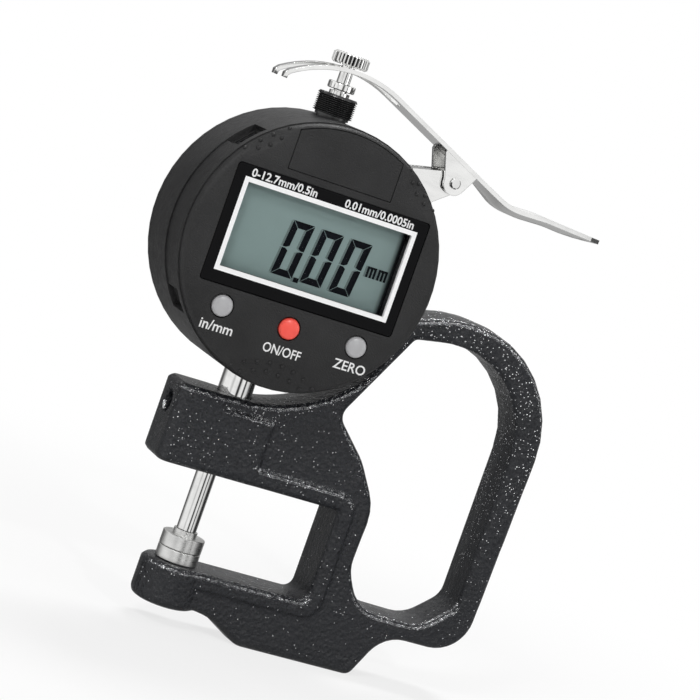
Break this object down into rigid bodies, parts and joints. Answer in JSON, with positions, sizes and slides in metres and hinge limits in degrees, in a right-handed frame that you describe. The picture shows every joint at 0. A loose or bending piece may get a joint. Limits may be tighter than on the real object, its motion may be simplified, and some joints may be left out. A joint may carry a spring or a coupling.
{
  "type": "digital thickness gauge",
  "caption": "Hand-held thickness gauge: cast C-frame with D-handle, round digital indicator with keys, lifting lever and flat measuring faces.",
  "frame": {"origin": "centre of the anvil's measuring face", "axes": "+Z along the spindle, away from the anvil; -Y out of the display, towards the reader; +X from the spindle to the handle"},
  "size_m": [0.1051, 0.028, 0.1355],
  "materials": {
    "hammered_black_paint": "gloss black hammered enamel",
    "dark_grey_plastic": "fine-grained dark grey moulding",
    "black_plastic": "plain black moulding",
    "printed_window": "black-backed clear window with a white screen border",
    "lcd_glass": "grey-green liquid crystal display",
    "grey_button_plastic": "light grey moulded cap",
    "red_button_plastic": "red moulded cap",
    "key_rubber": "moulded rubber",
    "board_laminate": "green glass-fibre laminate",
    "ground_steel": "ground and polished steel",
    "nickel_plate": "bright nickel plate",
    "spring_steel": "drawn wire",
    "bush_brass": "turned brass",
    "blackened_steel": "gloss black oxide finish",
    "screw_steel": "plated screw"
  },
  "bodies": {
    "gauge": {"frame": "hammered_black_paint", "anvil": "ground_steel", "stem_clamp_screw": "blackened_steel", "rear_case": "dark_grey_plastic", "back_cover": "dark_grey_plastic", "cover_screw_1": "screw_steel", "cover_screw_2": "screw_steel", "cover_screw_3": "screw_steel", "cover_screw_4": "screw_steel", "front_cover": "dark_grey_plastic", "display_window": "printed_window", "lcd_module": "lcd_glass", "lower_contact_strip": "key_rubber", "upper_contact_strip": "key_rubber", "key_membrane": "key_rubber", "battery_contact_positive": "spring_steel", "battery_cell": "nickel_plate", "battery_contact_negative": "spring_steel", "data_connector": "black_plastic", "circuit_board": "board_laminate", "board_screw_1": "screw_steel", "board_screw_2": "screw_steel", "board_screw_3": "screw_steel", "stem": "ground_steel", "lower_bush": "bush_brass", "thread_collar": "blackened_steel", "upper_bush": "bush_brass", "guide_rod": "ground_steel", "lever_bracket": "nickel_plate", "bracket_screw_1": "screw_steel", "bracket_screw_2": "screw_steel", "lever_spring": "spring_steel"},
    "measuring_spindle": {"contact_point": "ground_steel", "spindle": "ground_steel", "lifting_cap": "nickel_plate", "stop_collar": "nickel_plate", "spindle_carrier": "black_plastic", "sensor_scale": "board_laminate", "return_spring": "spring_steel"},
    "lever": {"lifting_lever": "nickel_plate", "pivot_pin": "ground_steel"},
    "unit_key": {"unit_button": "grey_button_plastic"},
    "power_key": {"power_button": "red_button_plastic"},
    "zero_key": {"zero_button": "grey_button_plastic"},
    "port_cover": {"data_port_cover": "dark_grey_plastic"},
    "battery_door": {"battery_cover": "dark_grey_plastic"}
  },
  "joints": [
    {"name": "lever_press", "type": "hinge", "parent": "gauge", "child": "lever", "pos_m": [0.032, 0, 0.0984], "axis": [0, 1, 0], "range_deg": [0, 22.6], "deforming": ["lever_spring"]},
    {"name": "spindle_lift", "type": "slide", "parent": "gauge", "child": "measuring_spindle", "axis": [0, 0, 1], "range_m": [0, 0.0127], "stiffness_N_per_m": 80, "deforming": ["return_spring"]},
    {"name": "unit_button_press", "type": "slide", "parent": "gauge", "child": "unit_key", "axis": [0, 1, 0], "range_m": [0, 0.0006], "stiffness_N_per_m": 300},
    {"name": "power_button_press", "type": "slide", "parent": "gauge", "child": "power_key", "axis": [0, 1, 0], "range_m": [0, 0.0006], "stiffness_N_per_m": 300},
    {"name": "zero_button_press", "type": "slide", "parent": "gauge", "child": "zero_key", "axis": [0, 1, 0], "range_m": [0, 0.0006], "stiffness_N_per_m": 300},
    {"name": "port_cover_slide", "type": "hinge", "parent": "gauge", "child": "port_cover", "pos_m": [0, -0.011, 0.073], "axis": [0, 1, 0], "range_deg": [-9, 13]},
    {"name": "battery_cover_lift", "type": "slide", "parent": "gauge", "child": "battery_door", "axis": [0, -1, 0], "range_m": [0, 0.012]}
  ],
  "couplings": [
    {"joint": "lever_press", "follows": "spindle_lift", "rad_per_m": 31.04}
  ]
}
